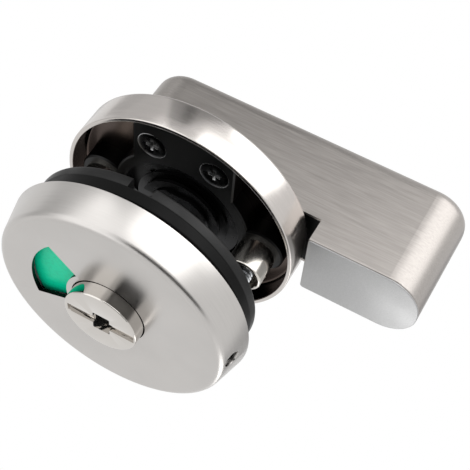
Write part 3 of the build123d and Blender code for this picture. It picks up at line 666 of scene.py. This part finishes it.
def painted_highlight_faces(place, normal):
    """The head's rim and the walls of its cross, where a highlight is painted."""
    return abs(normal.y) < 0.93 and place.y < PLATE_FRONT + SCREW_HIGHLIGHT_DEPTH


# Rim and cross walls take the light grey steel: a painted highlight
two_finishes(screw, black_screw, screw_painted_highlight, painted_highlight_faces)
for each in [screw] + [copied(screw, to_x - x, to_z - z) for to_x, to_z in SCREW_PLACES[1:]]:
    finished(each, "door_set", black_screw, "black_screws", "base_screws")

# Threaded posts: nickel-plated, with a rounded shoulder, a counterbored mouth and a stub through the base
POST_R = 5.0
POST_FRONT, POST_SHOULDER = 7.9, 0.6
MOUTH_R, MOUTH_END = 4.25, 10.1
THREAD_BORE_R, THREAD_BORE_END = 2.53, 15.9
STUB_R, STUB_END = 3.55, 20.1
post = turned(
    "post_turned",
    [(0, THREAD_BORE_END), (THREAD_BORE_R, THREAD_BORE_END), (THREAD_BORE_R, MOUTH_END)]
    + [(MOUTH_R, MOUTH_END), (MOUTH_R, POST_FRONT + 0.2), (POST_R - POST_SHOULDER, POST_FRONT)]
    + edge_arc(POST_R - POST_SHOULDER, POST_FRONT + POST_SHOULDER, POST_SHOULDER, -90, 0, 6)
    + [(POST_R, PLATE_FRONT), (STUB_R, PLATE_FRONT), (STUB_R, STUB_END), (0, STUB_END)],
    0,
    BOLT_Z,
    steps=96,
)
for each in (post, copied(post, 0, -2 * BOLT_Z)):
    finished(each, "door_set", post_nickel, "bright_steel", "threaded_posts")

# Fixing bolts: cross-head, with the M5 thread as rings at its pitch
BOLT_FRONT, BOLT_SEAT, BOLT_END = -11.1, -8.3, 14.3
BOLT_HEAD_R, BOLT_ROUND = 4.25, 1.4
BOLT_SHANK_R = 2.45
BOLT_CROSS_WIDE = 0.9
THREAD_FRONT, THREAD_TURNS, PITCH = -5.6, 25, 0.8
ROOT_R, CREST_R = 2.08, 2.48
thread = []
for turn_count in range(THREAD_TURNS):
    root = THREAD_FRONT + PITCH * turn_count
    thread += [(ROOT_R, root), (CREST_R, root + 0.4 * PITCH), (CREST_R, root + 0.6 * PITCH)]
bolt = turned(
    "bolt_cut",
    [(0, BOLT_FRONT), (BOLT_HEAD_R - BOLT_ROUND, BOLT_FRONT)]
    + edge_arc(BOLT_HEAD_R - BOLT_ROUND, BOLT_FRONT + BOLT_ROUND, BOLT_ROUND, -90, 0, 8)
    + [(BOLT_HEAD_R, BOLT_SEAT), (BOLT_SHANK_R, BOLT_SEAT), (BOLT_SHANK_R, THREAD_FRONT - 0.2)]
    + thread
    + [(ROOT_R, BOLT_END), (0, BOLT_END)],
    0,
    BOLT_Z,
    steps=64,
)
for wide, tall in ((CROSS_LONG, BOLT_CROSS_WIDE), (BOLT_CROSS_WIDE, CROSS_LONG)):
    arm_low = (-wide / 2, -13, BOLT_Z - tall / 2)
    cut(bolt, block("arm_tool", arm_low, (wide / 2, BOLT_FRONT + BOLT_ROUND, BOLT_Z + tall / 2)))
for each in (bolt, copied(bolt, 0, -2 * BOLT_Z)):
    finished(each, "door_set", zinc_plate, "zinc_steel", "fixing_bolts")

# World: white for the camera, for reflections and through glass, a plain level for the rest
WORLD_LEVEL = 0.62
world = bpy.data.worlds.new("studio")
bpy.context.scene.world = world
world.use_nodes = True
sky = world.node_tree
sky.nodes.clear()
ray = add(sky, "ShaderNodeLightPath").outputs
seen = add(sky, "ShaderNodeMath", {0: ray["Is Camera Ray"], 1: ray["Is Glossy Ray"]}, operation="ADD")
through = {0: seen.outputs[0], 1: ray["Is Transmission Ray"]}
shown = add(sky, "ShaderNodeMath", through, operation="ADD", use_clamp=True)
plain = add(sky, "ShaderNodeBackground", {"Color": (1, 1, 1, 1), "Strength": WORLD_LEVEL})
white = add(sky, "ShaderNodeBackground", {"Color": (1, 1, 1, 1), "Strength": 1.0})
either = add(sky, "ShaderNodeMixShader", {0: shown.outputs[0], 1: plain.outputs[0], 2: white.outputs[0]})
add(sky, "ShaderNodeOutputWorld", {"Surface": either.outputs[0]})

# Floor, plain and pale, a metre below the bolt, as it is under one on a door
drop_selection()
bpy.ops.mesh.primitive_plane_add(size=8, location=spot(0, 0, -1000))
floor = bpy.context.object
floor.name = "floor"
floor.data.materials.append(new_finish("paper_matt_white", "#F2F2F0", 0.9)[0])
floor.visible_glossy = False

# Lamps and cards stand round this place unless they name another
CENTRE = spot(0, 10, -10)
DARK = 0.3


def aimed(thing, turn, lean, distance, centre):
    """Aims a lamp or card at the centre, lean degrees off the camera and turn degrees round its view."""
    turn, lean = radians(turn), radians(lean)
    way = RIGHT * sin(lean) * cos(turn) + UP * sin(lean) * sin(turn) + BACK * cos(lean)
    across = BACK.cross(way).normalized()
    turn_to = Matrix((across, way.cross(across), way)).transposed().to_4x4()
    thing.matrix_world = Matrix.Translation(centre + way * distance) @ turn_to


def face_size(distance, half_angles):
    """Width and height that fill the given half angles at a distance."""
    return [2 * distance * tan(radians(half)) for half in half_angles]


def softbox(name, turn, lean, distance, half_angles, strength):
    """A lamp of even brightness, strength times white over its whole face."""
    drop_selection()
    bpy.ops.object.light_add(type="AREA")
    lamp = bpy.context.object
    lamp.name = name
    lamp.data.shape = "RECTANGLE"
    lamp.data.size, lamp.data.size_y = face_size(distance, half_angles)
    lamp.data.energy = strength * pi * lamp.data.size * lamp.data.size_y
    aimed(lamp, turn, lean, distance, CENTRE)


def card(name, turn, lean, distance, half_angles, tone, centre=CENTRE):
    """A studio card of one grey tone for reflections; a dark one also keeps light from behind it out."""
    drop_selection()
    bpy.ops.mesh.primitive_plane_add(size=1)
    sheet = bpy.context.object
    sheet.name = name
    aimed(sheet, turn, lean, distance, centre)
    sheet.scale = (*face_size(distance, half_angles), 1)
    finish, _, shader = new_finish(name + "_paper", "#000000", 1.0, gloss=0.0)
    shader.inputs["Emission Color"].default_value = (tone, tone, tone, 1)
    shader.inputs["Emission Strength"].default_value = 1.0
    sheet.data.materials.append(finish)
    sheet.visible_camera = False
    sheet.visible_diffuse = False
    sheet.visible_shadow = tone < DARK
    sheet.visible_transmission = False


# Two lamps from the upper right, then what the metal mirrors, from the top round to the left and below
softbox("key_lamp", 33, 80, 0.70, (24, 14), 1.8)
softbox("front_lamp", 46, 45, 0.70, (28, 18), 1.85)
card("dark_strip", 90, 77, 0.44, (3.5, 8), 0.12)
card("dark_card", 84, 89, 0.50, (18, 18), 0.35)
card("upper_card", 95, 120, 0.65, (30, 14), 0.62)
card("upper_left_card", 118, 97, 0.60, (14, 14), 0.72)
card("left_bright_card", 109, 68, 0.60, (8, 8), 2.1)
card("left_grey_card", 155, 94, 0.66, (26, 14), 0.60)
card("left_card", 155, 50, 0.75, (46, 22), 1.7)
card("back_card", 90, 160, 0.60, (20, 20), 0.72)
card("lower_right_card", -40, 136, 0.60, (20, 14), 0.50)

# A black card that draws the dark band down the release's side, and a white one that lights the insert's end
card("near_boss_card", -45, 22, 0.09, (15, 38), 0.0, spot(8, -18, -3))
card("near_white_card", -113, 114, 0.10, (12, 14), 3.0, spot(0, 19, -76))
